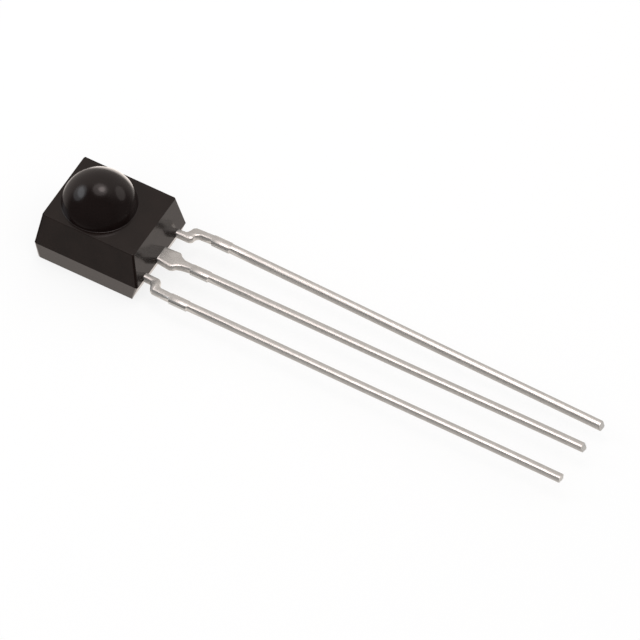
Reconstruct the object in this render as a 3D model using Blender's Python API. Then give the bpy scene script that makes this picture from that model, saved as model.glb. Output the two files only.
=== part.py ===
# Infrared receiver module: a black epoxy body, moulded in one with its dome lens
# round a stamped leadframe that carries two chips and their bond wires.
#
# Units are metres. The part lies on its back with the lens looking up, along +Z.
# The leads run along +X. The origin is on the back face, under the lens's middle.

import math

import bmesh
import bpy
from mathutils import Vector

MM = 0.001

# Clearance that keeps two touching pieces apart
SEAT_GAP = 0.01 * MM

# Photodiode and receiver chips, both on the paddle of the ground lead
PHOTODIODE_SIDE = 2.0 * MM
PHOTODIODE_HEIGHT = 0.28 * MM
RECEIVER_LENGTH = 1.3 * MM
RECEIVER_WIDTH = 1.7 * MM
RECEIVER_HEIGHT = 0.22 * MM
CHIP_SPACING = 0.45 * MM
ADHESIVE_HEIGHT = 0.03 * MM
ADHESIVE_SPREAD = 0.06 * MM

# Gold bond wires: a ball on the chip, a loop, then a stitch on the landing
WIRE_DIAMETER = 0.03 * MM
BALL_DIAMETER = 0.09 * MM
BALL_HEIGHT = 0.03 * MM
WIRE_LOOP_HEIGHT = 0.22 * MM
STITCH_LENGTH = 0.08 * MM
BOND_FROM_CHIP_EDGE = 0.15 * MM
BOND_FROM_PAD_EDGE = 0.35 * MM
BOND_BESIDE_CHIP = 0.18 * MM
BOND_ROW = 0.35 * MM

# Leadframe: one stamped sheet, parted into three leads after moulding
LEAD_THICKNESS = 0.5 * MM
LEAD_WIDTH = 0.42 * MM
LEAD_EDGE_ROUND = 0.05 * MM
LEAD_PITCH = 2.54 * MM
LEAD_LENGTH = 29.5 * MM
PADDLE_MARGIN = 0.3 * MM
STRIP_GAP = 0.3 * MM
PAD_WIDTH = 1.0 * MM
PAD_TAPER = 0.15 * MM
LOCK_HOLE_DIAMETER = 0.45 * MM
LOCK_HOLE_FROM_PAD_END = 0.45 * MM

# Ground lead: a wide neck with mould-lock notches, then the plain lead
NECK_WIDTH = 1.0 * MM
NECK_BEYOND_BODY = 1.15 * MM
NECK_TAPER = 0.3 * MM
NOTCH_DEPTH = 0.18 * MM
NOTCH_LENGTH = 0.3 * MM
NOTCH_FROM_PADDLE = 0.35 * MM
NOTCH_SLOPE = 0.08 * MM

# Outer leads: a stub that splays a little, then a jog out to the pitch
EXIT_FROM_PAD_EDGE = 0.28 * MM
STUB_SPLAY = 0.22 * MM
JOG_OUTER_START = 0.76 * MM
JOG_OUTER_RUN = 0.14 * MM
JOG_INNER_START = 1.17 * MM
JOG_INNER_RUN = 0.27 * MM

# Sheared ends of the dam bar that tied the three leads together
DAM_FROM_BODY = 2.2 * MM
DAM_LENGTH = 1.3 * MM
DAM_NEAR_PROUD = 0.09 * MM
DAM_FAR_PROUD = 0.04 * MM
DAM_SHOULDER = 0.06 * MM

# Sheared tips, and how far handling has bent the outer leads' tips
TIP_SLANT = 0.1 * MM
TIP_CORNER = 0.06 * MM
OUTPUT_TIP_BEND = -0.2 * MM
SUPPLY_TIP_BEND = -0.34 * MM
SUPPLY_TIP_DROOP = 0.27 * MM

# Moulded body: two drafted halves that meet at the leadframe's middle plane
BACK_DEPTH = 1.35 * MM
FRONT_DEPTH = 2.46 * MM
SIDE_WALL = 0.4 * MM
LEAD_END_WALL = 1.18 * MM
FRONT_SIDE_DRAFT = 0.4 * MM
FRONT_LENS_END_DRAFT = 0.29 * MM
FRONT_LEAD_END_DRAFT = 0.4 * MM
BACK_SIDE_DRAFT = 0.115 * MM
BACK_LENS_END_DRAFT = 0.13 * MM
BACK_LEAD_END_DRAFT = 0.27 * MM
FRONT_CORNER = 0.14 * MM
PARTING_CORNER = 0.14 * MM
BACK_CORNER = 0.3 * MM
LEAD_END_CORNER = 0.08 * MM
BODY_EDGE_ROUND = 0.03 * MM

# Dome lens: part of a sphere, with a small fillet where it meets the front face
LENS_HEIGHT = 2.02 * MM
LENS_FILLET = 0.05 * MM
LENS_SIDE_LAND = 0.175 * MM
LENS_END_LAND = 0.11 * MM

# Facets
LENS_SEGMENTS = 72
LENS_RINGS = 16
FILLET_STEPS = 3
CORNER_STEPS = 5
EDGE_STEPS = 2
HOLE_SEGMENTS = 24
WIRE_SIDES = 8
WIRE_STEPS = 12

# Heights
leadframe_z = BACK_DEPTH
lead_bottom_z = leadframe_z - LEAD_THICKNESS / 2
lead_top_z = leadframe_z + LEAD_THICKNESS / 2
front_z = BACK_DEPTH + FRONT_DEPTH
adhesive_z = lead_top_z + SEAT_GAP
chip_z = adhesive_z + ADHESIVE_HEIGHT + SEAT_GAP
photodiode_top_z = chip_z + PHOTODIODE_HEIGHT
receiver_top_z = chip_z + RECEIVER_HEIGHT

# Places along X, from the lens's middle
receiver_x0 = PHOTODIODE_SIDE / 2 + CHIP_SPACING
receiver_x1 = receiver_x0 + RECEIVER_LENGTH
paddle_x0 = -PHOTODIODE_SIDE / 2 - PADDLE_MARGIN
paddle_x1 = receiver_x1 + PADDLE_MARGIN
body_x1 = paddle_x1 + LEAD_END_WALL
dam_x0 = body_x1 + DAM_FROM_BODY
dam_x1 = dam_x0 + DAM_LENGTH
tip_x = body_x1 + LEAD_LENGTH

# Half widths along Y
lead_half = LEAD_WIDTH / 2
neck_half = NECK_WIDTH / 2
paddle_half = max(PHOTODIODE_SIDE, RECEIVER_WIDTH) / 2 + PADDLE_MARGIN
pad_inner_y = paddle_half + STRIP_GAP
pad_outer_y = pad_inner_y + PAD_WIDTH
exit_y = pad_inner_y + EXIT_FROM_PAD_EDGE
body_half = pad_outer_y + SIDE_WALL
front_half = body_half - FRONT_SIDE_DRAFT
back_half = body_half - BACK_SIDE_DRAFT

# Lens: its foot fills the front face but for a narrow land, which sets the sphere
lens_foot = front_half - BODY_EDGE_ROUND - LENS_SIDE_LAND
lens_radius = (lens_foot ** 2 / LENS_HEIGHT + LENS_HEIGHT) / 2 - LENS_FILLET
lens_centre_z = front_z + LENS_HEIGHT - lens_radius
front_x0 = -lens_foot - LENS_END_LAND - BODY_EDGE_ROUND
body_x0 = front_x0 - FRONT_LENS_END_DRAFT


def remove_objects():
    for item in list(bpy.data.objects):
        bpy.data.objects.remove(item, do_unlink=True)


def make_material(name, colour, roughness, metallic):
    material = bpy.data.materials.new(name)
    material.use_nodes = True
    material.diffuse_color = (*colour, 1.0)
    shader = material.node_tree.nodes["Principled BSDF"]
    shader.inputs["Base Color"].default_value = (*colour, 1.0)
    shader.inputs["Roughness"].default_value = roughness
    shader.inputs["Metallic"].default_value = metallic
    return material


def add_object(name, builder, material, smooth_angle=None):
    """Turn a bmesh into a named object whose faces point out."""
    bmesh.ops.recalc_face_normals(builder, faces=builder.faces)
    mesh = bpy.data.meshes.new(name)
    builder.to_mesh(mesh)
    builder.free()
    if smooth_angle is not None:
        mesh.shade_smooth()
        mesh.set_sharp_from_angle(angle=math.radians(smooth_angle))
    mesh.materials.append(material)
    item = bpy.data.objects.new(name, mesh)
    bpy.context.scene.collection.objects.link(item)
    return item


def as_cutter(item):
    item.hide_render = True
    item.display_type = "WIRE"
    return item


def cut(target, cutter):
    modifier = target.modifiers.new("cut_" + cutter.name, "BOOLEAN")
    modifier.operation = "DIFFERENCE"
    modifier.solver = "EXACT"
    modifier.object = cutter


def round_edges(target, width, segments):
    modifier = target.modifiers.new("edge_round", "BEVEL")
    modifier.width = width
    modifier.segments = segments
    modifier.limit_method = "ANGLE"
    modifier.angle_limit = math.radians(15)


def blend(start, end, share):
    return start + (end - start) * share


def add_ring(builder, points):
    return [builder.verts.new(point) for point in points]


def bridge(builder, lower, upper):
    """Join two closed rings of equal length with a band of quads."""
    count = len(lower)
    for i in range(count):
        j = (i + 1) % count
        builder.faces.new((lower[i], lower[j], upper[j], upper[i]))


def circle(radius, z, segments):
    angles = [math.tau * i / segments for i in range(segments)]
    return [(radius * math.cos(a), radius * math.sin(a), z) for a in angles]


# Body: drafted halves, rounded edges and the dome lens, as one skin


def wall_sizes(z):
    """Both ends, half width and lens-end corner radius of the wall at height z."""
    parting = (body_x0, body_x1, body_half, PARTING_CORNER)
    if z < leadframe_z:
        share = (leadframe_z - z) / BACK_DEPTH
        face = (body_x0 + BACK_LENS_END_DRAFT, body_x1 - BACK_LEAD_END_DRAFT,
                back_half, BACK_CORNER)
    else:
        share = (z - leadframe_z) / FRONT_DEPTH
        face = (front_x0, body_x1 - FRONT_LEAD_END_DRAFT, front_half, FRONT_CORNER)
    return [blend(a, b, share) for a, b in zip(parting, face)]


def body_outline(z, inset):
    """Counter-clockwise outline of the body at height z, drawn in by inset."""
    x0, x1, half, lens_corner = wall_sizes(z)
    corners = [
        (x1, -1, LEAD_END_CORNER, -90),
        (x1, 1, LEAD_END_CORNER, 0),
        (x0, 1, lens_corner, 90),
        (x0, -1, lens_corner, 180),
    ]
    points = []
    for x, side, radius, start in corners:
        centre_x = x - math.copysign(radius, x)
        centre_y = side * (half - radius)
        for step in range(CORNER_STEPS + 1):
            angle = math.radians(start + 90 * step / CORNER_STEPS)
            points.append((centre_x + (radius - inset) * math.cos(angle),
                           centre_y + (radius - inset) * math.sin(angle), z))
    return points


def body_sections():
    """Outlines from the back face up to the front face."""
    angles = [math.radians(90 * step / EDGE_STEPS) for step in range(EDGE_STEPS + 1)]
    drops = [BODY_EDGE_ROUND * (1 - math.sin(a)) for a in angles]
    insets = [BODY_EDGE_ROUND * (1 - math.cos(a)) for a in angles]
    back = [body_outline(drop, inset) for drop, inset in zip(drops, insets)]
    front = [body_outline(front_z - drop, inset) for drop, inset in zip(drops, insets)]
    return back[::-1] + [body_outline(leadframe_z, 0.0)] + front


def lens_profile():
    """Radius and height of each ring of the lens, from its foot to near its top."""
    fillet_z = front_z + LENS_FILLET
    meet = math.atan2(fillet_z - lens_centre_z, lens_foot)
    profile = []
    for step in range(FILLET_STEPS + 1):
        angle = blend(-math.pi / 2, meet - math.pi, step / FILLET_STEPS)
        profile.append((lens_foot + LENS_FILLET * math.cos(angle),
                        fillet_z + LENS_FILLET * math.sin(angle)))
    for step in range(1, LENS_RINGS):
        angle = blend(meet, math.pi / 2, step / LENS_RINGS)
        profile.append((lens_radius * math.cos(angle),
                        lens_centre_z + lens_radius * math.sin(angle)))
    return profile


def make_body(material):
    builder = bmesh.new()
    sections = [add_ring(builder, outline) for outline in body_sections()]
    for lower, upper in zip(sections, sections[1:]):
        bridge(builder, lower, upper)
    builder.faces.new(sections[0])

    rings = [add_ring(builder, circle(radius, z, LENS_SEGMENTS))
             for radius, z in lens_profile()]
    for lower, upper in zip(rings, rings[1:]):
        bridge(builder, lower, upper)
    apex = builder.verts.new((0.0, 0.0, front_z + LENS_HEIGHT))
    last = rings[-1]
    for i in range(LENS_SEGMENTS):
        builder.faces.new((last[i], last[(i + 1) % LENS_SEGMENTS], apex))

    border = []
    for loop in (sections[-1], rings[0]):
        for i, vertex in enumerate(loop):
            border.append(builder.edges.get((vertex, loop[(i + 1) % len(loop)])))
    bmesh.ops.triangle_fill(builder, edges=border, use_beauty=True)
    return add_object("epoxy_body", builder, material, 25)


# Leadframe


def tip_share(x):
    """0 up to the dam bar's cut ends, then growing to 1 at the tip."""
    return max(0.0, (x - dam_x1) / (tip_x - dam_x1))


def run_edges(centre):
    """Near and far edge of a lead from the dam bar's cut ends to its tip."""
    near = centre - lead_half
    far = centre + lead_half
    near_edge = [
        (dam_x0, near),
        (dam_x0 + DAM_SHOULDER, near - DAM_NEAR_PROUD),
        (dam_x1 - DAM_SHOULDER, near - DAM_NEAR_PROUD),
        (dam_x1, near),
        (tip_x - TIP_CORNER, near),
        (tip_x, near + TIP_CORNER),
    ]
    far_edge = [
        (dam_x0, far),
        (dam_x0 + DAM_SHOULDER, far + DAM_FAR_PROUD),
        (dam_x1 - DAM_SHOULDER, far + DAM_FAR_PROUD),
        (dam_x1, far),
        (tip_x - TIP_CORNER, far),
        (tip_x, far - TIP_CORNER),
    ]
    return near_edge, far_edge


def close_outline(near_edge, far_edge):
    """Counter-clockwise outline from two edges that both run along +X."""
    return near_edge + far_edge[::-1]


def ground_outline():
    notch_x0 = paddle_x1 + NOTCH_FROM_PADDLE
    notch_x1 = notch_x0 + NOTCH_LENGTH
    neck_x1 = body_x1 + NECK_BEYOND_BODY
    edge = [
        (paddle_x0, paddle_half),
        (paddle_x1, paddle_half),
        (paddle_x1 + PAD_TAPER, neck_half),
        (notch_x0, neck_half),
        (notch_x0 + NOTCH_SLOPE, neck_half - NOTCH_DEPTH),
        (notch_x1 - NOTCH_SLOPE, neck_half - NOTCH_DEPTH),
        (notch_x1, neck_half),
        (neck_x1, neck_half),
        (neck_x1 + NECK_TAPER, lead_half),
    ]
    near_edge, far_edge = run_edges(0.0)
    return close_outline([(x, -y) for x, y in edge] + near_edge, edge + far_edge)


def outer_outline(side):
    """Outline of the output lead (side -1) or the supply lead (side 1)."""

    def stub_y(beyond):
        return exit_y + STUB_SPLAY * beyond / JOG_INNER_START

    inner = [
        (receiver_x0, pad_inner_y),
        (paddle_x1, pad_inner_y),
        (body_x1, exit_y - lead_half),
        (body_x1 + JOG_INNER_START, stub_y(JOG_INNER_START) - lead_half),
        (body_x1 + JOG_INNER_START + JOG_INNER_RUN, LEAD_PITCH - lead_half),
    ]
    outer = [
        (receiver_x0, pad_outer_y),
        (paddle_x1, pad_outer_y),
        (paddle_x1 + PAD_TAPER, exit_y + lead_half),
        (body_x1, exit_y + lead_half),
        (body_x1 + JOG_OUTER_START, stub_y(JOG_OUTER_START) + lead_half),
        (body_x1 + JOG_OUTER_START + JOG_OUTER_RUN, LEAD_PITCH + lead_half),
    ]
    near, far = (inner, outer) if side > 0 else (outer, inner)
    near_edge, far_edge = run_edges(side * LEAD_PITCH)
    return close_outline([(x, side * y) for x, y in near] + near_edge,
                         [(x, side * y) for x, y in far] + far_edge)


def grow_outline(outline, distance):
    """Move every side of a counter-clockwise outline out by distance."""
    grown = []
    count = len(outline)
    for i in range(count):
        before, here, after = (Vector(outline[(i + k) % count]) for k in (-1, 0, 1))
        into = (here - before).normalized()
        away = (after - here).normalized()
        normal = Vector((into.y, -into.x))
        mitre = (normal + Vector((away.y, -away.x))).normalized()
        grown.append(here + mitre * (distance / mitre.dot(normal)))
    return [(point.x, point.y) for point in grown]


def make_strip(name, outline, material, bend, droop, grow):
    """Stamp an outline out of the sheet, its run bent sideways and down at the tip."""
    builder = bmesh.new()
    rings = []
    for z, slant in ((lead_bottom_z - grow, 0.5), (lead_top_z + grow, -0.5)):
        points = []
        for x, y in grow_outline(outline, grow):
            share = tip_share(x)
            at_tip = x > tip_x - 2 * TIP_CORNER
            points.append((x + slant * TIP_SLANT * at_tip, y + bend * share,
                           z - droop * share))
        rings.append(add_ring(builder, points))
    bridge(builder, *rings)
    builder.faces.new(rings[0])
    builder.faces.new(rings[1])
    return add_object(name, builder, material, 30)


def make_peg(name, x, y, diameter, z0, z1, material):
    builder = bmesh.new()
    bmesh.ops.create_cone(builder, cap_ends=True, segments=HOLE_SEGMENTS,
                          radius1=diameter / 2, radius2=diameter / 2, depth=z1 - z0)
    bmesh.ops.translate(builder, verts=builder.verts, vec=(x, y, (z0 + z1) / 2))
    return add_object(name, builder, material)


def make_lead(name, outline, material, bend=0.0, droop=0.0, lock_hole_y=None):
    """A lead, and the cutter that leaves its bed in the epoxy."""
    lead = make_strip(name, outline, material, bend, droop, 0.0)
    round_edges(lead, LEAD_EDGE_ROUND, 2)
    bed = as_cutter(make_strip(name + "_bed", outline, material, bend, droop, SEAT_GAP))
    if lock_hole_y is not None:
        hole_x = paddle_x1 - LOCK_HOLE_FROM_PAD_END
        z0 = lead_bottom_z - LEAD_THICKNESS
        z1 = lead_top_z + LEAD_THICKNESS
        hole = make_peg(name + "_hole", hole_x, lock_hole_y, LOCK_HOLE_DIAMETER,
                        z0, z1, material)
        post = make_peg(name + "_post", hole_x, lock_hole_y,
                        LOCK_HOLE_DIAMETER - 2 * SEAT_GAP, z0, z1, material)
        cut(lead, as_cutter(hole))
        cut(bed, as_cutter(post))
    return bed


# Chips and their adhesive


def make_box(name, x0, x1, half, z0, z1, material):
    builder = bmesh.new()
    outline = [(x0, -half), (x1, -half), (x1, half), (x0, half)]
    lower = add_ring(builder, [(x, y, z0) for x, y in outline])
    upper = add_ring(builder, [(x, y, z1) for x, y in outline])
    bridge(builder, lower, upper)
    builder.faces.new(lower)
    builder.faces.new(upper)
    return add_object(name, builder, material)


def make_chip(name, x0, x1, half, top_z, silicon, adhesive):
    """A chip on its adhesive, and the cutters for their beds in the epoxy."""
    spread = ADHESIVE_SPREAD
    adhesive_top = adhesive_z + ADHESIVE_HEIGHT
    make_box(name + "_chip", x0, x1, half, chip_z, top_z, silicon)
    make_box(name + "_adhesive", x0 - spread, x1 + spread, half + spread,
             adhesive_z, adhesive_top, adhesive)
    gap = SEAT_GAP
    chip_bed = make_box(name + "_chip_bed", x0 - gap, x1 + gap, half + gap,
                        adhesive_top, top_z + gap, silicon)
    adhesive_bed = make_box(name + "_adhesive_bed", x0 - spread - gap, x1 + spread + gap,
                            half + spread + gap, lead_top_z, adhesive_top + gap, adhesive)
    return [as_cutter(chip_bed), as_cutter(adhesive_bed)]


# Bond wires


def wire_rings(span, start_z, end_z, grow):
    """Distance, height, tangent and radius of each ring along a bond wire."""
    radius = WIRE_DIAMETER / 2 + grow
    ball = BALL_DIAMETER / 2 + grow
    up = Vector((0.0, 1.0))
    level = Vector((1.0, 0.0))
    ball_top = start_z + BALL_HEIGHT
    rings = [
        (Vector((0.0, start_z - grow)), up, 0.7 * ball),
        (Vector((0.0, start_z + BALL_HEIGHT / 2)), up, ball),
        (Vector((0.0, ball_top + grow)), up, 0.7 * ball),
    ]
    neck = Vector((0.0, ball_top + BALL_HEIGHT))
    landing = Vector((span, end_z + WIRE_DIAMETER / 2))
    peak_z = max(start_z, end_z) + WIRE_LOOP_HEIGHT * 4 / 3
    handles = (neck, Vector((0.0, peak_z)), Vector((0.8 * span, peak_z)), landing)
    for step in range(WIRE_STEPS):
        t = step / WIRE_STEPS
        weights = ((1 - t) ** 3, 3 * t * (1 - t) ** 2, 3 * t ** 2 * (1 - t), t ** 3)
        slopes = (-3 * (1 - t) ** 2, 3 * (1 - t) * (1 - 3 * t), 3 * t * (2 - 3 * t),
                  3 * t ** 2)
        place = sum((w * h for w, h in zip(weights, handles)), Vector((0.0, 0.0)))
        slope = sum((s * h for s, h in zip(slopes, handles)), Vector((0.0, 0.0)))
        rings.append((place, slope.normalized(), radius))
    rings.append((landing, level, radius))
    rings.append((landing + level * (STITCH_LENGTH + grow), level, radius))
    return rings


def make_wire(name, start, end, material, grow=0.0):
    """A bond wire from a chip's top to a landing, in one upright plane."""
    start = Vector(start)
    end = Vector(end)
    along = Vector((end.x - start.x, end.y - start.y, 0.0))
    span = along.length
    along.normalize()
    up = Vector((0.0, 0.0, 1.0))
    across = up.cross(along)
    foot = Vector((start.x, start.y, 0.0))
    builder = bmesh.new()
    rings = []
    for place, tangent, radius in wire_rings(span, start.z, end.z, grow):
        centre = foot + along * place.x + up * place.y
        normal = along * -tangent.y + up * tangent.x
        angles = [math.tau * (i + 0.5) / WIRE_SIDES for i in range(WIRE_SIDES)]
        rings.append(add_ring(builder, [
            centre + across * (radius * math.cos(a)) + normal * (radius * math.sin(a))
            for a in angles]))
    for lower, upper in zip(rings, rings[1:]):
        bridge(builder, lower, upper)
    builder.faces.new(rings[0])
    builder.faces.new(rings[-1])
    return add_object(name, builder, material, 50)


def wire_routes():
    """Start and end of each bond wire."""
    diode_z = photodiode_top_z + SEAT_GAP
    receiver_z = receiver_top_z + SEAT_GAP
    frame_z = lead_top_z + SEAT_GAP
    diode_edge = PHOTODIODE_SIDE / 2 - BOND_FROM_CHIP_EDGE
    receiver_edge = RECEIVER_WIDTH / 2 - BOND_FROM_CHIP_EDGE
    beside = RECEIVER_WIDTH / 2 + BOND_BESIDE_CHIP
    pad_y = pad_inner_y + BOND_FROM_PAD_EDGE
    row_x = receiver_x0 + BOND_ROW
    ground_x = receiver_x1 - BOND_ROW
    return {
        "photodiode_wire": ((diode_edge, 0.0, diode_z),
                            (receiver_x0 + BOND_FROM_CHIP_EDGE, 0.0, receiver_z)),
        "output_wire": ((row_x, -receiver_edge, receiver_z), (row_x, -pad_y, frame_z)),
        "supply_wire": ((row_x, receiver_edge, receiver_z), (row_x, pad_y, frame_z)),
        "ground_wire": ((ground_x, receiver_edge, receiver_z),
                        (ground_x, beside, frame_z)),
    }


remove_objects()

epoxy = make_material("black_epoxy", (0.014, 0.011, 0.010), 0.16, 0.0)
tin = make_material("tinned_steel", (0.60, 0.58, 0.55), 0.28, 1.0)
silicon = make_material("silicon", (0.10, 0.11, 0.14), 0.18, 0.4)
adhesive = make_material("silver_adhesive", (0.55, 0.54, 0.50), 0.5, 0.6)
gold = make_material("gold", (0.90, 0.62, 0.24), 0.25, 1.0)

body = make_body(epoxy)

hole_y = (pad_inner_y + pad_outer_y) / 2
beds = [
    make_lead("output_lead", outer_outline(-1), tin, bend=OUTPUT_TIP_BEND,
              lock_hole_y=-hole_y),
    make_lead("ground_lead", ground_outline(), tin),
    make_lead("supply_lead", outer_outline(1), tin, bend=SUPPLY_TIP_BEND,
              droop=SUPPLY_TIP_DROOP, lock_hole_y=hole_y),
]
beds += make_chip("photodiode", -PHOTODIODE_SIDE / 2, PHOTODIODE_SIDE / 2,
                  PHOTODIODE_SIDE / 2, photodiode_top_z, silicon, adhesive)
beds += make_chip("receiver", receiver_x0, receiver_x1, RECEIVER_WIDTH / 2,
                  receiver_top_z, silicon, adhesive)
for wire_name, (wire_start, wire_end) in wire_routes().items():
    make_wire(wire_name, wire_start, wire_end, gold)
    beds.append(as_cutter(make_wire(wire_name + "_bed", wire_start, wire_end, gold,
                                    SEAT_GAP)))
for bed in beds:
    cut(body, bed)
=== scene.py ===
import math

import bmesh
import bpy
from mathutils import Matrix, Vector


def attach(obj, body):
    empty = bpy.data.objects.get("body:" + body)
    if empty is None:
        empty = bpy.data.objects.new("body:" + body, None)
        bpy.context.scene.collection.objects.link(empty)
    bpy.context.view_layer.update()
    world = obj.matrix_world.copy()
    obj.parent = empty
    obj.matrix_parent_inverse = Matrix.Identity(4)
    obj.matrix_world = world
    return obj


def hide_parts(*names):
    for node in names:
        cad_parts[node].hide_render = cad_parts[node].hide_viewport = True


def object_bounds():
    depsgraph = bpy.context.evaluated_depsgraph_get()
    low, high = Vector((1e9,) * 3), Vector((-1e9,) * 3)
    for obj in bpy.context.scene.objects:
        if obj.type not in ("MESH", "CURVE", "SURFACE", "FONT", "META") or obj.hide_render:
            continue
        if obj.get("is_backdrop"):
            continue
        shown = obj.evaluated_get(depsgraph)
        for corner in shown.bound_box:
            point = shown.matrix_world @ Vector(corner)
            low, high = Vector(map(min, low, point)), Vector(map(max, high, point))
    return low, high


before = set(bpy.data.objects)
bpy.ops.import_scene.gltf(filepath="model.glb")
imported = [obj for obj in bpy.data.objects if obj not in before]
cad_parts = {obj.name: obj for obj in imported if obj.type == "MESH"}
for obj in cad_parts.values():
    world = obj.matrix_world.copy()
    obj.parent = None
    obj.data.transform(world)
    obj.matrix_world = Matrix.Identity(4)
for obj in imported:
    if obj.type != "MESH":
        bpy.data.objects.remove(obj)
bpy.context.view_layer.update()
bpy.ops.object.select_all(action="DESELECT")


# Camera: a parallel view from above the near side, in which the leads run away to the
# lower right. The lens stands to the left of the picture's middle and above it.

MM = 0.001
CAMERA_AZIMUTH = math.radians(29.05)
CAMERA_ELEVATION = math.radians(51.45)
CAMERA_ROLL = math.radians(1.0)
CAMERA_DISTANCE = 200 * MM
CAMERA_SEES_FROM = 1 * MM
CAMERA_SEES_TO = 5000 * MM
PICTURE_WIDTH = 38.67 * MM
LENS_LEFT_OF_MIDDLE = 13.317 * MM
LENS_ABOVE_MIDDLE = 7.141 * MM
FRONT_Z = 3.81 * MM


def turn_to(right, up, back):
    """The turn that sets an object's x, y and z axes along those directions."""
    return Matrix((right, up, back)).transposed().to_quaternion()


toward_camera = Vector((
    math.sin(CAMERA_AZIMUTH) * math.cos(CAMERA_ELEVATION),
    -math.cos(CAMERA_AZIMUTH) * math.cos(CAMERA_ELEVATION),
    math.sin(CAMERA_ELEVATION)))
level_right = Vector((math.cos(CAMERA_AZIMUTH), math.sin(CAMERA_AZIMUTH), 0.0))
level_up = toward_camera.cross(level_right)
picture_right = (level_right * math.cos(CAMERA_ROLL)
                 + level_up * math.sin(CAMERA_ROLL))
picture_up = toward_camera.cross(picture_right)
lens_foot_middle = Vector((0.0, 0.0, FRONT_Z))

camera_data = bpy.data.cameras.new("camera")
camera_data.type = "ORTHO"
camera_data.ortho_scale = PICTURE_WIDTH
camera_data.clip_start = CAMERA_SEES_FROM
camera_data.clip_end = CAMERA_SEES_TO
camera = bpy.data.objects.new("camera", camera_data)
bpy.context.scene.collection.objects.link(camera)
camera.rotation_mode = "QUATERNION"
camera.rotation_quaternion = turn_to(picture_right, picture_up, toward_camera)
camera.location = (lens_foot_middle + picture_right * LENS_LEFT_OF_MIDDLE
                   - picture_up * LENS_ABOVE_MIDDLE + toward_camera * CAMERA_DISTANCE)
bpy.context.scene.camera = camera


# Light and floor: a white table and backdrop, with soft lamps on the left, above and
# on the right. The dome and the tin mirror the lamps, the table and the backdrop, in a
# room that is dark on the camera's side.

def join(tree, source, output, target, entry):
    tree.links.new(source.outputs[output], target.inputs[entry])


def add_node(tree, kind, **values):
    """Add a shader node and set its properties or its inputs by name."""
    node = tree.nodes.new(kind)
    for key, value in values.items():
        if hasattr(node, key):
            setattr(node, key, value)
        else:
            node.inputs[key].default_value = value
    return node


def smooth_step(tree, source, output, low, high, to_low=0.0, to_high=1.0):
    """Ease from one level to the other while the source goes from low to high."""
    step = add_node(tree, "ShaderNodeMapRange", interpolation_type="SMOOTHSTEP")
    join(tree, source, output, step, "Value")
    for entry, value in (("From Min", low), ("From Max", high),
                         ("To Min", to_low), ("To Max", to_high)):
        step.inputs[entry].default_value = value
    return step


def share_along(tree, source, axis, low, high, to_low, to_high):
    """A level that changes smoothly with how far a direction points along an axis."""
    dot = add_node(tree, "ShaderNodeVectorMath", operation="DOT_PRODUCT")
    dot.inputs[1].default_value = axis
    join(tree, source, "Generated", dot, 0)
    return smooth_step(tree, dot, "Value", low, high, to_low, to_high)


def add_up(tree, first, second):
    total = add_node(tree, "ShaderNodeMath", operation="ADD")
    join(tree, first, 0, total, 0)
    join(tree, second, 0, total, 1)
    return total


def choose(tree, rays, kind, usual, special):
    """The special shader for rays of that kind, and the usual one for the others."""
    choice = add_node(tree, "ShaderNodeMixShader")
    join(tree, rays, kind, choice, 0)
    join(tree, usual, 0, choice, 1)
    join(tree, special, 0, choice, 2)
    return choice


# Each is an axis, the shares along it where a change starts and ends, and the levels
# before and after it.
NEAR_SIDE = (0.0, 0.0, 1.0), -0.70, -0.30, 0.33, 0.05
FAR_SIDE = (1.0, 0.0, 0.0), 0.15, 0.85, 0.41, 0.08
NEAR_TO_FAR = (0.0, 1.0, -0.3), -0.45, 0.12, 0.0, 1.0
TABLE_GLOW = (-0.1, -0.25, 1.0), -0.74, -0.50, 0.60, 0.0
BACKDROP_GLOW = (-0.25, 0.86, -0.45), 0.93, 0.995, 0.0, 1.6
ROOM_TINT = (1.0, 0.91, 0.85, 1.0)
ROOM_FILL = 0.85
WHITE = (1.0, 1.0, 1.0, 1.0)

world = bpy.data.worlds.new("studio")
bpy.context.scene.world = world
world.use_nodes = True
room = world.node_tree
room.nodes.clear()
direction = add_node(room, "ShaderNodeTexCoord")
level = add_node(room, "ShaderNodeMix", data_type="FLOAT")
for ramp, entry in ((NEAR_TO_FAR, 0), (NEAR_SIDE, 2), (FAR_SIDE, 3)):
    join(room, share_along(room, direction, *ramp), 0, level, entry)
for ramp in (TABLE_GLOW, BACKDROP_GLOW):
    level = add_up(room, level, share_along(room, direction, *ramp))
mirrored = add_node(room, "ShaderNodeBackground", Color=ROOM_TINT)
join(room, level, 0, mirrored, "Strength")
fill = add_node(room, "ShaderNodeBackground", Strength=ROOM_FILL)
backdrop = add_node(room, "ShaderNodeBackground", Color=WHITE)
room_rays = add_node(room, "ShaderNodeLightPath")
lit = choose(room, room_rays, "Is Glossy Ray", fill, mirrored)
seen = choose(room, room_rays, "Is Camera Ray", lit, backdrop)
room_output = add_node(room, "ShaderNodeOutputWorld")
join(room, seen, 0, room_output, "Surface")


def add_lamp(name, aim, distance, along, wide, tall, radiance, colour):
    """An oval soft lamp that faces the part. It spans those angles, in degrees, as seen
    from there, and its height runs along the given direction."""
    aim = Vector(aim).normalized()
    across = Vector(along).cross(aim).normalized()
    half_wide, half_tall = (distance * math.tan(math.radians(angle / 2))
                            for angle in (wide, tall))
    data = bpy.data.lights.new(name, "AREA")
    data.shape = "ELLIPSE"
    data.size = 2 * half_wide
    data.size_y = 2 * half_tall
    data.energy = radiance * math.pi * math.pi * half_wide * half_tall
    data.color = colour
    lamp = bpy.data.objects.new(name, data)
    bpy.context.scene.collection.objects.link(lamp)
    lamp.location = aim * distance
    lamp.rotation_mode = "QUATERNION"
    lamp.rotation_quaternion = turn_to(across, aim.cross(across), aim)


NEAR_LAMP = 100 * MM
FAR_LAMP = 250 * MM
LEFT_LAMPS_ALONG = (0.23, -0.93, 0.28)
DAYLIGHT = (0.92, 0.95, 1.0)

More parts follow.
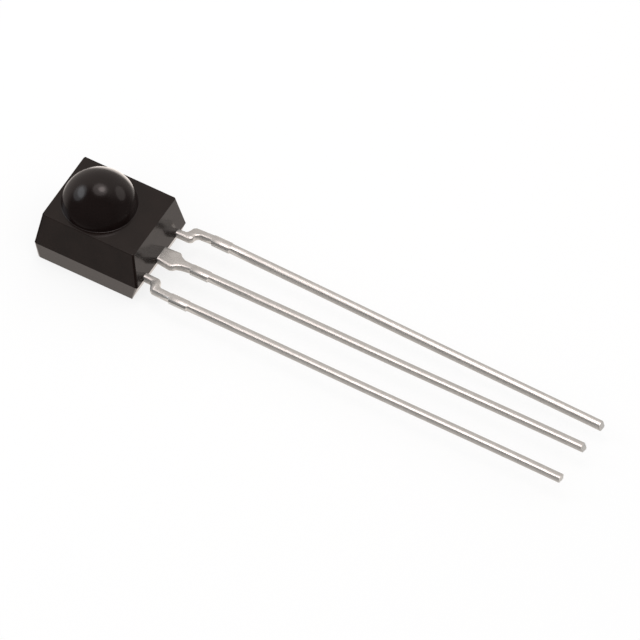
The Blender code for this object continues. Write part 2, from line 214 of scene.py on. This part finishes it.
add_lamp("lamp_left", aim=(-0.77, -0.19, 0.60), distance=FAR_LAMP,
         along=LEFT_LAMPS_ALONG, wide=20, tall=30, radiance=1.15, colour=DAYLIGHT)
add_lamp("softbox_left", aim=(-0.81, -0.20, 0.55), distance=FAR_LAMP,
         along=LEFT_LAMPS_ALONG, wide=40, tall=40, radiance=0.62, colour=DAYLIGHT)
add_lamp("lamp_above", aim=(0.0, 0.19, 0.98), distance=NEAR_LAMP,
         along=(0.0, 1.0, 0.0), wide=16, tall=16, radiance=2.35, colour=(1.0, 0.88, 0.86))
add_lamp("softbox_above", aim=(-0.06, 0.14, 0.98), distance=NEAR_LAMP,
         along=(0.0, 1.0, 0.0), wide=38, tall=36, radiance=0.78, colour=(1.0, 0.89, 0.87))
add_lamp("lamp_right", aim=(0.60, 0.61, 0.51), distance=FAR_LAMP,
         along=(0.0, 0.0, 1.0), wide=36, tall=30, radiance=0.50, colour=(1.0, 0.92, 0.88))

FLOOR_SIZE = 3000 * MM
FLOOR_DROP = 0.01 * MM
FLOOR_WHITE = (0.85, 0.85, 0.85, 1.0)
FLOOR_GLOW = 1.09
FLOOR_SHOWS_SHADOW = 0.25

bpy.ops.mesh.primitive_plane_add(size=FLOOR_SIZE, location=(0.0, 0.0, -FLOOR_DROP))
floor = bpy.context.active_object
floor.name = "floor"
floor.visible_glossy = False
paper = bpy.data.materials.new("white_paper")
paper.use_nodes = True
tree = paper.node_tree
tree.nodes.clear()
plain = add_node(tree, "ShaderNodeBsdfDiffuse", Color=FLOOR_WHITE)
glow = add_node(tree, "ShaderNodeEmission", Strength=FLOOR_GLOW)
shown = add_node(tree, "ShaderNodeMixShader")
shown.inputs[0].default_value = FLOOR_SHOWS_SHADOW
join(tree, glow, 0, shown, 1)
join(tree, plain, 0, shown, 2)
floor_rays = add_node(tree, "ShaderNodeLightPath")
floor_seen = choose(tree, floor_rays, "Is Camera Ray", plain, shown)
floor_output = add_node(tree, "ShaderNodeOutputMaterial")
join(tree, floor_seen, 0, floor_output, "Surface")
floor.data.materials.append(paper)
floor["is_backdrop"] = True
bpy.context.scene.view_settings.view_transform = "Standard"


# Epoxy body: one transfer moulding in black, infrared-clear epoxy. Two drafted
# halves meet at the leadframe, and the front half carries the dome lens.

PARTING_Z = 1.35 * MM
BODY_LEVELS = {
    # height: lens end, lead end, half width, lens-end and lead-end corner radii, in mm
    0.0: (-2.695, 3.96, 2.885, 0.30, 0.06),
    PARTING_Z: (-2.825, 4.36, 3.0, 0.14, 0.14),
    FRONT_Z: (-2.535, 3.83, 2.6, 0.14, 0.12),
}
CORNER_STEPS = 6
LENS_FOOT = 2.395 * MM
LENS_HEIGHT = 2.02 * MM
LENS_FILLET = 0.05 * MM
LENS_RIM = 0.006 * MM
LENS_POINTS = 144
LENS_RINGS = 40
FILLET_RINGS = 5
EJECTOR_X = 1.9 * MM
EJECTOR_RADIUS = 0.6 * MM
EJECTOR_DEPTH = 0.03 * MM
EJECTOR_TAPER = 0.95
EJECTOR_POINTS = 64
BODY_EDGE = 0.03 * MM
BODY_EDGE_STEPS = 3
PARTING_BAND = 0.012 * MM
FLASH = 0.008 * MM
SHARP_DEGREES = 40
BODY_SMOOTH_DEGREES = 35
HAIR = 0.0005 * MM


def same(size, other):
    """Whether two sizes agree to within a hair."""
    return abs(size - other) < HAIR


def start_piece(name):
    """An empty piece at the origin, open in edit mode."""
    bpy.ops.object.select_all(action="DESELECT")
    bpy.ops.mesh.primitive_plane_add()
    piece = bpy.context.active_object
    piece.name = name
    piece.data.name = name
    bpy.ops.object.mode_set(mode="EDIT")
    bpy.ops.mesh.select_all(action="SELECT")
    bpy.ops.mesh.delete(type="VERT")
    return piece


def pick(piece, kind, test):
    """Select the vertices, edges or faces that pass the test on their bmesh element."""
    bpy.ops.mesh.select_mode(type=kind)
    bpy.ops.mesh.select_all(action="DESELECT")
    mesh = bmesh.from_edit_mesh(piece.data)
    mesh.normal_update()
    for element in {"VERT": mesh.verts, "EDGE": mesh.edges, "FACE": mesh.faces}[kind]:
        if test(element):
            element.select_set(True)
    mesh.select_flush_mode()
    bmesh.update_edit_mesh(piece.data)


def at_height(z):
    """Test for an edge that lies level at that height."""
    return lambda edge: all(same(vertex.co.z, z) for vertex in edge.verts)


def is_open(edge):
    return len(edge.link_faces) == 1


def is_corner(edge, degrees):
    return len(edge.link_faces) == 2 and edge.calc_face_angle() > math.radians(degrees)


def finish_piece(piece, smooth_degrees):
    """Clean the mesh, point its faces out and shade it smooth below that angle."""
    bpy.ops.mesh.select_all(action="SELECT")
    bpy.ops.mesh.remove_doubles(threshold=0.1 * HAIR)
    bpy.ops.mesh.normals_make_consistent(inside=False)
    bpy.ops.object.mode_set(mode="OBJECT")
    bpy.ops.object.shade_smooth_by_angle(angle=math.radians(smooth_degrees))


body = start_piece("epoxy_moulding")
for z, outline in BODY_LEVELS.items():
    lens_end, lead_end, half, lens_corner, lead_corner = (size * MM for size in outline)
    middle = Vector(((lens_end + lead_end) / 2, 0.0, z))
    bpy.ops.mesh.primitive_plane_add(size=MM, location=middle)
    bpy.ops.transform.resize(value=((lead_end - lens_end) / MM, 2 * half / MM, 1.0),
                             center_override=middle)
    for end, radius in ((lens_end, lens_corner), (lead_end, lead_corner)):
        pick(body, "VERT", lambda v: same(v.co.z, z) and same(v.co.x, end))
        bpy.ops.mesh.bevel(offset=radius, segments=CORNER_STEPS, affect="VERTICES")
bpy.ops.mesh.select_all(action="SELECT")
bpy.ops.mesh.delete(type="ONLY_FACE")
heights = list(BODY_LEVELS)
for low, high in zip(heights, heights[1:]):
    pick(body, "EDGE", lambda e: at_height(low)(e) or at_height(high)(e))
    bpy.ops.mesh.bridge_edge_loops()

# The dome grows ring by ring out of a round hole in the front face. A hair of flat rim
# round the foot of its fillet keeps the shading of that face flat.
bpy.ops.mesh.primitive_circle_add(vertices=LENS_POINTS, radius=LENS_FOOT + LENS_RIM,
                                  location=(0.0, 0.0, FRONT_Z))
pick(body, "EDGE", at_height(FRONT_Z))
bpy.ops.mesh.fill(use_beauty=True)
lens_radius = (LENS_FOOT ** 2 / LENS_HEIGHT + LENS_HEIGHT) / 2 - LENS_FILLET
lens_centre_z = FRONT_Z + LENS_HEIGHT - lens_radius
meet = math.atan2(FRONT_Z + LENS_FILLET - lens_centre_z, LENS_FOOT)
rings = [(LENS_FOOT, FRONT_Z)]
for step in range(1, FILLET_RINGS + 1):
    angle = -math.pi / 2 + (meet - math.pi / 2) * step / FILLET_RINGS
    rings.append((LENS_FOOT + LENS_FILLET * math.cos(angle),
                  FRONT_Z + LENS_FILLET + LENS_FILLET * math.sin(angle)))
for step in range(1, LENS_RINGS):
    angle = meet + (math.pi / 2 - meet) * step / LENS_RINGS
    rings.append((lens_radius * math.cos(angle),
                  lens_centre_z + lens_radius * math.sin(angle)))
pick(body, "EDGE", lambda e: at_height(FRONT_Z)(e) and is_open(e))
here_radius, here_z = LENS_FOOT + LENS_RIM, FRONT_Z
for radius, z in rings:
    bpy.ops.mesh.extrude_edges_move(
        TRANSFORM_OT_translate={"value": (0.0, 0.0, z - here_z)})
    share = radius / here_radius
    bpy.ops.transform.resize(value=(share, share, 1.0), center_override=(0.0, 0.0, z))
    here_radius, here_z = radius, z
bpy.ops.mesh.extrude_edges_move(
    TRANSFORM_OT_translate={"value": (0.0, 0.0, FRONT_Z + LENS_HEIGHT - here_z)})
bpy.ops.mesh.merge(type="CENTER")

# A shallow round mark from the ejector pin, in the back face.
bpy.ops.mesh.primitive_circle_add(vertices=EJECTOR_POINTS, radius=EJECTOR_RADIUS,
                                  location=(EJECTOR_X, 0.0, 0.0))
pick(body, "EDGE", at_height(0.0))
bpy.ops.mesh.fill(use_beauty=True)
pick(body, "EDGE", lambda e: at_height(0.0)(e) and is_open(e))
bpy.ops.mesh.extrude_edges_move(
    TRANSFORM_OT_translate={"value": (0.0, 0.0, EJECTOR_DEPTH)})
bpy.ops.transform.resize(value=(EJECTOR_TAPER, EJECTOR_TAPER, 1.0),
                         center_override=(EJECTOR_X, 0.0, EJECTOR_DEPTH))
bpy.ops.mesh.edge_face_add()

# A fine round along the outlines of both faces, but not of the ejector mark, and a
# hair of flash along the parting line.
ejector_middle = Vector((EJECTOR_X, 0.0))
bpy.ops.mesh.select_all(action="SELECT")
bpy.ops.mesh.normals_make_consistent(inside=False)
for z in (0.0, FRONT_Z):
    pick(body, "EDGE", lambda e: at_height(z)(e) and is_corner(e, SHARP_DEGREES)
         and (e.verts[0].co.xy - ejector_middle).length > 2 * EJECTOR_RADIUS)
    bpy.ops.mesh.bevel(offset=BODY_EDGE, segments=BODY_EDGE_STEPS, affect="EDGES")
pick(body, "EDGE", at_height(PARTING_Z))
bpy.ops.mesh.bevel(offset=PARTING_BAND, segments=2, affect="EDGES")
pick(body, "VERT", lambda v: same(v.co.z, PARTING_Z))
bpy.ops.transform.shrink_fatten(value=FLASH)
finish_piece(body, BODY_SMOOTH_DEGREES)
weigh = body.modifiers.new("weigh_normals", "WEIGHTED_NORMAL")
weigh.keep_sharp = True
bpy.ops.object.modifier_apply(modifier=weigh.name)


def new_material(name, colour, roughness, metallic, ior):
    """A material with its constant values set, and its tree, shader and coordinates."""
    material = bpy.data.materials.new(name)
    material.use_nodes = True
    tree = material.node_tree
    shader = tree.nodes["Principled BSDF"]
    shader.inputs["Base Color"].default_value = (*colour, 1.0)
    shader.inputs["Roughness"].default_value = roughness
    shader.inputs["Metallic"].default_value = metallic
    shader.inputs["IOR"].default_value = ior
    place = add_node(tree, "ShaderNodeTexCoord")
    return material, tree, shader, place


def add_noise(tree, place, size, detail=2.0, stretch=(1.0, 1.0, 1.0)):
    """Noise whose spots are about that size, in metres, longer along a small stretch."""
    scaled = add_node(tree, "ShaderNodeMapping")
    scaled.inputs["Scale"].default_value = [share / size for share in stretch]
    join(tree, place, "Object", scaled, "Vector")
    noise = add_node(tree, "ShaderNodeTexNoise", Scale=1.0, Detail=detail)
    join(tree, scaled, 0, noise, "Vector")
    return noise


def vary_colour(tree, shader, noise, first, second, low=0.35, high=0.65):
    """Go from one colour to the other over the noise's middle range."""
    share = smooth_step(tree, noise, 0, low, high)
    mix = add_node(tree, "ShaderNodeMix", data_type="RGBA")
    mix.inputs[6].default_value = (*first, 1.0)
    mix.inputs[7].default_value = (*second, 1.0)
    join(tree, share, 0, mix, 0)
    join(tree, mix, 2, shader, "Base Color")


def vary_roughness(tree, shader, noise, smoothest, roughest, low=0.3, high=0.7):
    """Go from one roughness to the other over the noise's middle range."""
    spread = smooth_step(tree, noise, 0, low, high, smoothest, roughest)
    join(tree, spread, 0, shader, "Roughness")


def add_bumps(tree, shader, layers):
    """Bumps from pairs of a noise and its height in metres, one on top of another."""
    before = None
    for noise, rise in layers:
        bump = add_node(tree, "ShaderNodeBump", Strength=1.0)
        bump.inputs["Distance"].default_value = rise
        join(tree, noise, 0, bump, "Height")
        if before is not None:
            join(tree, before, 0, bump, "Normal")
        before = bump
    join(tree, before, 0, shader, "Normal")


epoxy, tree, shader, place = new_material(
    "black_epoxy", colour=(0.0110, 0.0060, 0.0048), roughness=0.14, metallic=0.0,
    ior=1.56)
cloud = add_noise(tree, place, size=1.4 * MM, detail=3.0)
grain = add_noise(tree, place, size=0.03 * MM, detail=3.0)
wave = add_noise(tree, place, size=1.1 * MM, detail=1.0)
vary_colour(tree, shader, cloud, (0.0094, 0.0050, 0.0040), (0.0128, 0.0071, 0.0057))
vary_roughness(tree, shader, grain, 0.11, 0.17)
add_bumps(tree, shader, ((wave, 0.003 * MM), (grain, 0.0003 * MM)))

# The lens's part of the mould is polished, so the dome has no grain.
lens_epoxy, tree, shader, place = new_material(
    "polished_epoxy", colour=(0.0102, 0.0060, 0.0055), roughness=0.12, metallic=0.0,
    ior=1.56)
cloud = add_noise(tree, place, size=1.2 * MM)
haze = add_noise(tree, place, size=0.05 * MM)
vary_colour(tree, shader, cloud, (0.0094, 0.0055, 0.0050), (0.0110, 0.0066, 0.0060))
vary_roughness(tree, shader, haze, 0.14, 0.19)
add_bumps(tree, shader, ((cloud, 0.0015 * MM),))

body.data.materials.append(epoxy)
body.data.materials.append(lens_epoxy)
for face in body.data.polygons:
    face.material_index = int(face.center.z > FRONT_Z + HAIR)
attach(body, "root")
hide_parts("epoxy_body")


# Output lead, on the near side: stamped from steel sheet with the other two, and
# tinned. Its pad is locked in the epoxy, and it jogs out to the lead pitch.

SHEET = 0.5 * MM
SHEET_BOTTOM = PARTING_Z - SHEET / 2
LEAD_PITCH = 2.54 * MM
LEAD_HALF = 0.235 * MM
PAD_START = 1.45 * MM
PADS_END = 3.05 * MM
PAD_INNER = 1.6 * MM
PAD_OUTER = 2.6 * MM
LOCK_HOLE_X = 2.6 * MM
LOCK_HOLE_RADIUS = 0.225 * MM
LOCK_HOLE_POINTS = 48
NECK_START = 4.30 * MM
JOG_INNER = (
    # points of the edge towards the ground lead, in mm
    (3.20, 1.609), (NECK_START / MM, 1.76), (5.24, 1.78), (5.42, 1.92), (5.45, 2.15),
    (5.62, 2.32),
)
JOG_OUTER = (
    # points of the edge away from it, in mm
    (3.20, 2.09), (NECK_START / MM, 2.17), (4.83, 2.20), (4.95, 2.37), (5.05, 2.65),
    (5.22, 2.78),
)
DAM_START = 6.43 * MM
DAM_END = 7.73 * MM
DAM_SHOULDER = 0.06 * MM
DAM_NEAR = 0.09 * MM
DAM_FAR = 0.04 * MM
DAM_SMOOTH_Z = 1.45 * MM
DAM_BULGE = 0.03 * MM
DAM_TEAR = 0.03 * MM
TIP_X = 33.73 * MM
TIP_ZONE = 0.2 * MM
TIP_FACE_ZONE = 0.1 * MM
TIP_MIDDLE_Z = 1.18 * MM
BURR_ZONE = 0.02 * MM
BURR = (0.05 * MM, 0.01 * MM, -0.02 * MM)
RUN_STEPS = 16

# Each run wanders in a slow wave, in radians over its length and per distance aside.
WANDER = 0.012 * MM
WANDER_TURN = 9.0
WANDER_SHIFT = 2.3 / MM

# A face faces a way when its normal has at least this share of it.
FACING = 0.8


def sheet_point(x, y, drop=0.0):
    """A point of the sheet's underside, that far below its level."""
    return Vector((x, y, SHEET_BOTTOM - drop))


def at_dam(x):
    return DAM_START + HAIR < x < DAM_END - HAIR


def run_stations(centre, start, bend=0.0, droop=0.0, roll=0.0):
    """Near and far edge points from the dam bar's cut ends to the tip. The run starts
    and ends that far aside, droops towards the tip, and rolls its near edge down."""
    near, far = centre + start - LEAD_HALF, centre + start + LEAD_HALF
    stations = [
        (sheet_point(x, near - proud * DAM_NEAR, roll_share * roll),
         sheet_point(x, far + proud * DAM_FAR))
        for x, proud, roll_share in (
            (DAM_START, 0.0, 0.0),
            (DAM_START + DAM_SHOULDER, 1.0, 0.1),
            (DAM_END - DAM_SHOULDER, 1.0, 0.6),
            (DAM_END, 0.0, 0.7))]
    for step in range(1, RUN_STEPS + 1):
        share = step / RUN_STEPS
        x = DAM_END + (TIP_X - DAM_END) * share
        aside = ((bend - start) * share
                 + WANDER * math.sin(WANDER_TURN * share + WANDER_SHIFT * centre))
        stations.append((sheet_point(x, near + aside, droop * share + roll),
                         sheet_point(x, far + aside, droop * share)))
    return stations


def draw_sheet(name, x_from, x_to, y_from, y_to, stations):
    """A flat outline: the paddle's rectangle, then its end edge pulled on."""
    piece = start_piece(name)
    middle = sheet_point((x_from + x_to) / 2, (y_from + y_to) / 2)
    bpy.ops.mesh.primitive_plane_add(size=MM, location=middle)
    bpy.ops.transform.resize(value=((x_to - x_from) / MM, (y_to - y_from) / MM, 1.0),
                             center_override=middle)
    pick(piece, "EDGE", lambda e: all(same(v.co.x, x_to) for v in e.verts))
    here = sheet_point(x_to, y_from), sheet_point(x_to, y_to)
    for there in stations:
        bpy.ops.mesh.select_mode(type="EDGE")
        bpy.ops.mesh.extrude_edges_move(
            TRANSFORM_OT_translate={"value": there[0] - here[0]})
        far_now = here[1] + there[0] - here[0]
        pick(piece, "VERT", lambda v: (v.co - far_now).length < HAIR)
        bpy.ops.transform.translate(value=there[1] - far_now)
        pick(piece, "VERT", lambda v: min((v.co - p).length for p in there) < HAIR)
        here = there
    return piece


def thicken(piece):
    bpy.ops.mesh.select_mode(type="FACE")
    bpy.ops.mesh.select_all(action="SELECT")
    bpy.ops.mesh.extrude_region_move(
        TRANSFORM_OT_translate={"value": (0.0, 0.0, SHEET)})
    bpy.ops.mesh.select_all(action="SELECT")
    bpy.ops.mesh.normals_make_consistent(inside=False)


def cut_dam_bar(piece, centre):
    """Shape the dam bar's cut faces: an upper band bulges, and below it they are torn."""
    pick(piece, "FACE", lambda f: abs(f.normal.z) < FACING
         and at_dam(f.calc_center_median().x))
    bpy.ops.mesh.bisect(plane_co=(0.0, 0.0, DAM_SMOOTH_Z), plane_no=(0.0, 0.0, 1.0))
    for side in (-1, 1):
        for in_band, outwards in (
                (lambda z: same(z, DAM_SMOOTH_Z), DAM_BULGE),
                (lambda z: z < PARTING_Z, -DAM_TEAR)):
            pick(piece, "VERT", lambda v: in_band(v.co.z) and at_dam(v.co.x)
                 and (v.co.y - centre) * side > 0)
            bpy.ops.transform.translate(value=(0.0, side * outwards, 0.0))


def shear_tip(piece, centre, slant):
    """Slant the sheared tip, and leave a burr at its far side."""
    for way in (1, -1):
        pick(piece, "VERT", lambda v: v.co.x > TIP_X - TIP_ZONE
             and (v.co.z - TIP_MIDDLE_Z) * way > 0)
        bpy.ops.transform.translate(value=(-way * slant / 2, 0.0, 0.0))
    pick(piece, "VERT", lambda v: v.co.x > TIP_X - BURR_ZONE and v.co.y > centre)
    bpy.ops.transform.translate(value=BURR)


CORNER_ROUND = 0.05 * MM
ROLLED_EDGE = 0.08 * MM
SHEARED_EDGE = 0.07 * MM
NOTCH_START = 3.3 * MM
NOTCH_END = 3.75 * MM
UPRIGHT_LEAN = 0.3
FLAT_DEGREES = 1
OUTLINE_DEGREES = 30


def upright(edge):
    a, b = (vertex.co for vertex in edge.verts)
    return (a.xy - b.xy).length < UPRIGHT_LEAN * abs(a.z - b.z)


def round_corners(piece):
    """Make each flat side of the neck one face, and round the outline's corners, the
    rolled upper edge and the sheared lower edge."""
    pick(piece, "EDGE", lambda e: not upright(e) and not is_corner(e, FLAT_DEGREES)
         and all(NECK_START + HAIR < v.co.x < DAM_START - HAIR for v in e.verts))
    bpy.ops.mesh.dissolve_edges(use_verts=False)
    pick(piece, "EDGE", lambda e: upright(e) and is_corner(e, OUTLINE_DEGREES)
         and not NOTCH_START < e.verts[0].co.x < NOTCH_END
         and e.verts[0].co.x < DAM_START - HAIR)
    bpy.ops.mesh.bevel(offset=CORNER_ROUND, segments=2, affect="EDGES")
    for way, radius, steps in ((1, ROLLED_EDGE, 2), (-1, SHEARED_EDGE, 1)):
        pick(piece, "EDGE", lambda e: is_corner(e, SHARP_DEGREES) and not upright(e)
             and any(f.normal.z * way > FACING for f in e.link_faces)
             and max(v.co.x for v in e.verts) > NOTCH_END
             and min(v.co.x for v in e.verts) < TIP_X - TIP_ZONE)
        bpy.ops.mesh.bevel(offset=radius, segments=steps, affect="EDGES")


def cut_lock_hole(piece, y):
    """Cut the round hole through which the epoxy locks the pad."""
    bpy.ops.object.mode_set(mode="OBJECT")
    bpy.ops.mesh.primitive_cylinder_add(
        vertices=LOCK_HOLE_POINTS, radius=LOCK_HOLE_RADIUS, depth=4 * SHEET,
        location=(LOCK_HOLE_X, y, PARTING_Z))
    punch = bpy.context.active_object
    bpy.context.view_layer.objects.active = piece
    cut = piece.modifiers.new("lock_hole", "BOOLEAN")
    cut.operation = "DIFFERENCE"
    cut.solver = "EXACT"
    cut.object = punch
    bpy.ops.object.modifier_apply(modifier=cut.name)
    bpy.data.objects.remove(punch)
    piece.select_set(True)
    bpy.ops.object.mode_set(mode="EDIT")


tin, tree, shader, place = new_material(
    "tin_plate", colour=(0.88, 0.87, 0.845), roughness=0.25, metallic=0.74, ior=1.5)
blotch = add_noise(tree, place, size=0.5 * MM, detail=3.0)
streak = add_noise(tree, place, size=0.02 * MM, detail=3.0, stretch=(0.03, 1.0, 1.0))
dimple = add_noise(tree, place, size=0.16 * MM, stretch=(0.5, 1.0, 1.0))
vary_colour(tree, shader, blotch, (0.84, 0.83, 0.805), (0.90, 0.89, 0.865))
vary_roughness(tree, shader, streak, 0.22, 0.28)
add_bumps(tree, shader, ((dimple, 0.0008 * MM),))

# The tip and the torn part of the dam bar's cut faces are rough bare steel.
sheared, tree, shader, place = new_material(
    "sheared_steel", colour=(0.76, 0.75, 0.72), roughness=0.45, metallic=0.35, ior=1.5)
tear = add_noise(tree, place, size=0.05 * MM, detail=3.0, stretch=(1.0, 1.0, 0.2))
vary_colour(tree, shader, tear, (0.66, 0.65, 0.62), (0.84, 0.83, 0.80))
vary_roughness(tree, shader, tear, 0.35, 0.55)
add_bumps(tree, shader, ((tear, 0.012 * MM),))

# The upper band of those faces was rubbed smooth by the punch.
burnished, tree, shader, place = new_material(
    "burnished_steel", colour=(0.66, 0.65, 0.62), roughness=0.30, metallic=0.9, ior=1.5)
drag = add_noise(tree, place, size=0.03 * MM, stretch=(1.0, 1.0, 0.1))
vary_colour(tree, shader, drag, (0.58, 0.57, 0.545), (0.74, 0.73, 0.70))
vary_roughness(tree, shader, drag, 0.22, 0.34)

LEAD_FINISHES = tin, sheared, burnished
LEAD_SMOOTH_DEGREES = 40
LEANS_UP = 0.1


def finish_lead(piece, node):
    """Clean a lead up, give its faces their finishes and put it in its node's place."""
    finish_piece(piece, LEAD_SMOOTH_DEGREES)
    for finish in LEAD_FINISHES:
        piece.data.materials.append(finish)
    for face in piece.data.polygons:
        finish = tin
        if face.center.x > TIP_X - TIP_FACE_ZONE and face.normal.x > FACING:
            finish = sheared
        elif at_dam(face.center.x) and abs(face.normal.y) > FACING:
            finish = burnished if face.normal.z > LEANS_UP else sheared
        face.material_index = LEAD_FINISHES.index(finish)
    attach(piece, "root")
    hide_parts(node)


def outer_lead(name, side, start, bend, slant, droop=0.0, roll=0.0):
    """The output lead, side -1, or its mirror twin, the supply lead, side 1."""
    inner, outer = ([sheet_point(x * MM, side * y * MM) for x, y in edge]
                    for edge in (JOG_INNER, JOG_OUTER))
    near_edge, far_edge = (inner, outer) if side > 0 else (outer, inner)
    centre = side * LEAD_PITCH
    stations = (list(zip(near_edge, far_edge))
                + run_stations(centre, start, bend, droop, roll))
    y_from, y_to = sorted((side * PAD_INNER, side * PAD_OUTER))
    piece = draw_sheet(name, PAD_START, PADS_END, y_from, y_to, stations)
    thicken(piece)
    cut_dam_bar(piece, centre + start)
    shear_tip(piece, centre + bend, slant)
    round_corners(piece)
    cut_lock_hole(piece, (y_from + y_to) / 2)
    return piece


output_lead = outer_lead("output_pin_lead", side=-1, start=-0.05 * MM,
                         bend=-0.21 * MM, slant=-0.03 * MM)
finish_lead(output_lead, "output_lead")


# Ground lead, in the middle: its paddle carries both chips, and its wide neck has
# a notch on each side that the epoxy fills.

PADDLE_START = -1.3 * MM
PADDLE_HALF = 1.3 * MM
GROUND_NECK = (
    # the near edge's x and half width, then the far edge's, in mm
    (3.20, 0.5, 3.20, 0.5),
    (3.40, 0.5, 3.40, 0.5),
    (3.48, 0.32, 3.48, 0.32),
    (3.62, 0.32, 3.62, 0.32),
    (3.70, 0.5, 3.70, 0.5),
    (NECK_START / MM, 0.54, NECK_START / MM, 0.56),
    (5.24, 0.65, 5.34, 0.63),
    (5.46, 0.57, 5.45, 0.56),
    (5.58, 0.42, 5.56, 0.42),
    (5.86, 0.32, 5.86, 0.27),
)
GROUND_START = 0.01 * MM
GROUND_SLANT = 0.1 * MM
NECK_AREA = 0.5 * MM * MM
NECK_CROWN = 0.12 * MM

neck_stations = [
    (sheet_point(near_x * MM, -near_half * MM), sheet_point(far_x * MM, far_half * MM))
    for near_x, near_half, far_x, far_half in GROUND_NECK]
ground_lead = draw_sheet("ground_pin_lead", PADDLE_START, PADS_END, -PADDLE_HALF,
                         PADDLE_HALF, neck_stations + run_stations(0.0, GROUND_START))
thicken(ground_lead)
cut_dam_bar(ground_lead, 0.0)
shear_tip(ground_lead, 0.0, GROUND_SLANT)
round_corners(ground_lead)

# An inner ring keeps the neck's wide top flat in its shading up to near its edges.
pick(ground_lead, "FACE", lambda f: f.normal.z > FACING and f.calc_area() > NECK_AREA
     and NECK_START < f.calc_center_median().x < DAM_START)
bpy.ops.mesh.inset(thickness=NECK_CROWN)
finish_lead(ground_lead, "ground_lead")


# Supply lead, on the far side: the output lead's mirror twin, with its long run
# bent a little inwards and down by handling.

supply_lead = outer_lead("supply_pin_lead", side=1, start=0.07 * MM, bend=-0.34 * MM,
                         slant=0.08 * MM, droop=0.27 * MM, roll=0.055 * MM)
finish_lead(supply_lead, "supply_lead")


# Chips: diced silicon, stuck to the paddle with silver-filled adhesive. The black
# epoxy hides them.

silicon, tree, shader, place = new_material(
    "silicon", colour=(0.10, 0.11, 0.14), roughness=0.18, metallic=0.4, ior=3.4)
film = add_noise(tree, place, size=0.25 * MM)
vary_colour(tree, shader, film, (0.07, 0.08, 0.13), (0.15, 0.14, 0.17))
vary_roughness(tree, shader, film, 0.12, 0.24)
for name in ("photodiode_chip", "receiver_chip"):
    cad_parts[name].material_slots[0].material = silicon

adhesive, tree, shader, place = new_material(
    "silver_adhesive", colour=(0.55, 0.54, 0.50), roughness=0.5, metallic=0.6, ior=1.5)
flake = add_noise(tree, place, size=0.02 * MM, detail=3.0)
vary_colour(tree, shader, flake, (0.42, 0.41, 0.38), (0.66, 0.65, 0.61))
vary_roughness(tree, shader, flake, 0.38, 0.6)
add_bumps(tree, shader, ((flake, 0.003 * MM),))
for name in ("photodiode_adhesive", "receiver_adhesive"):
    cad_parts[name].material_slots[0].material = adhesive


# Bond wires: fine drawn gold, from chip to chip and from chip to leadframe. Each is
# welded at both ends, and the epoxy round it holds it in its arch.

gold, tree, shader, place = new_material(
    "gold", colour=(0.90, 0.62, 0.24), roughness=0.25, metallic=1.0, ior=1.5)
drawn = add_noise(tree, place, size=0.006 * MM)
vary_colour(tree, shader, drawn, (0.84, 0.56, 0.20), (0.95, 0.68, 0.29))
vary_roughness(tree, shader, drawn, 0.18, 0.32)
for name in ("photodiode_wire", "output_wire", "supply_wire", "ground_wire"):
    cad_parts[name].material_slots[0].material = gold


low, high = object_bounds()
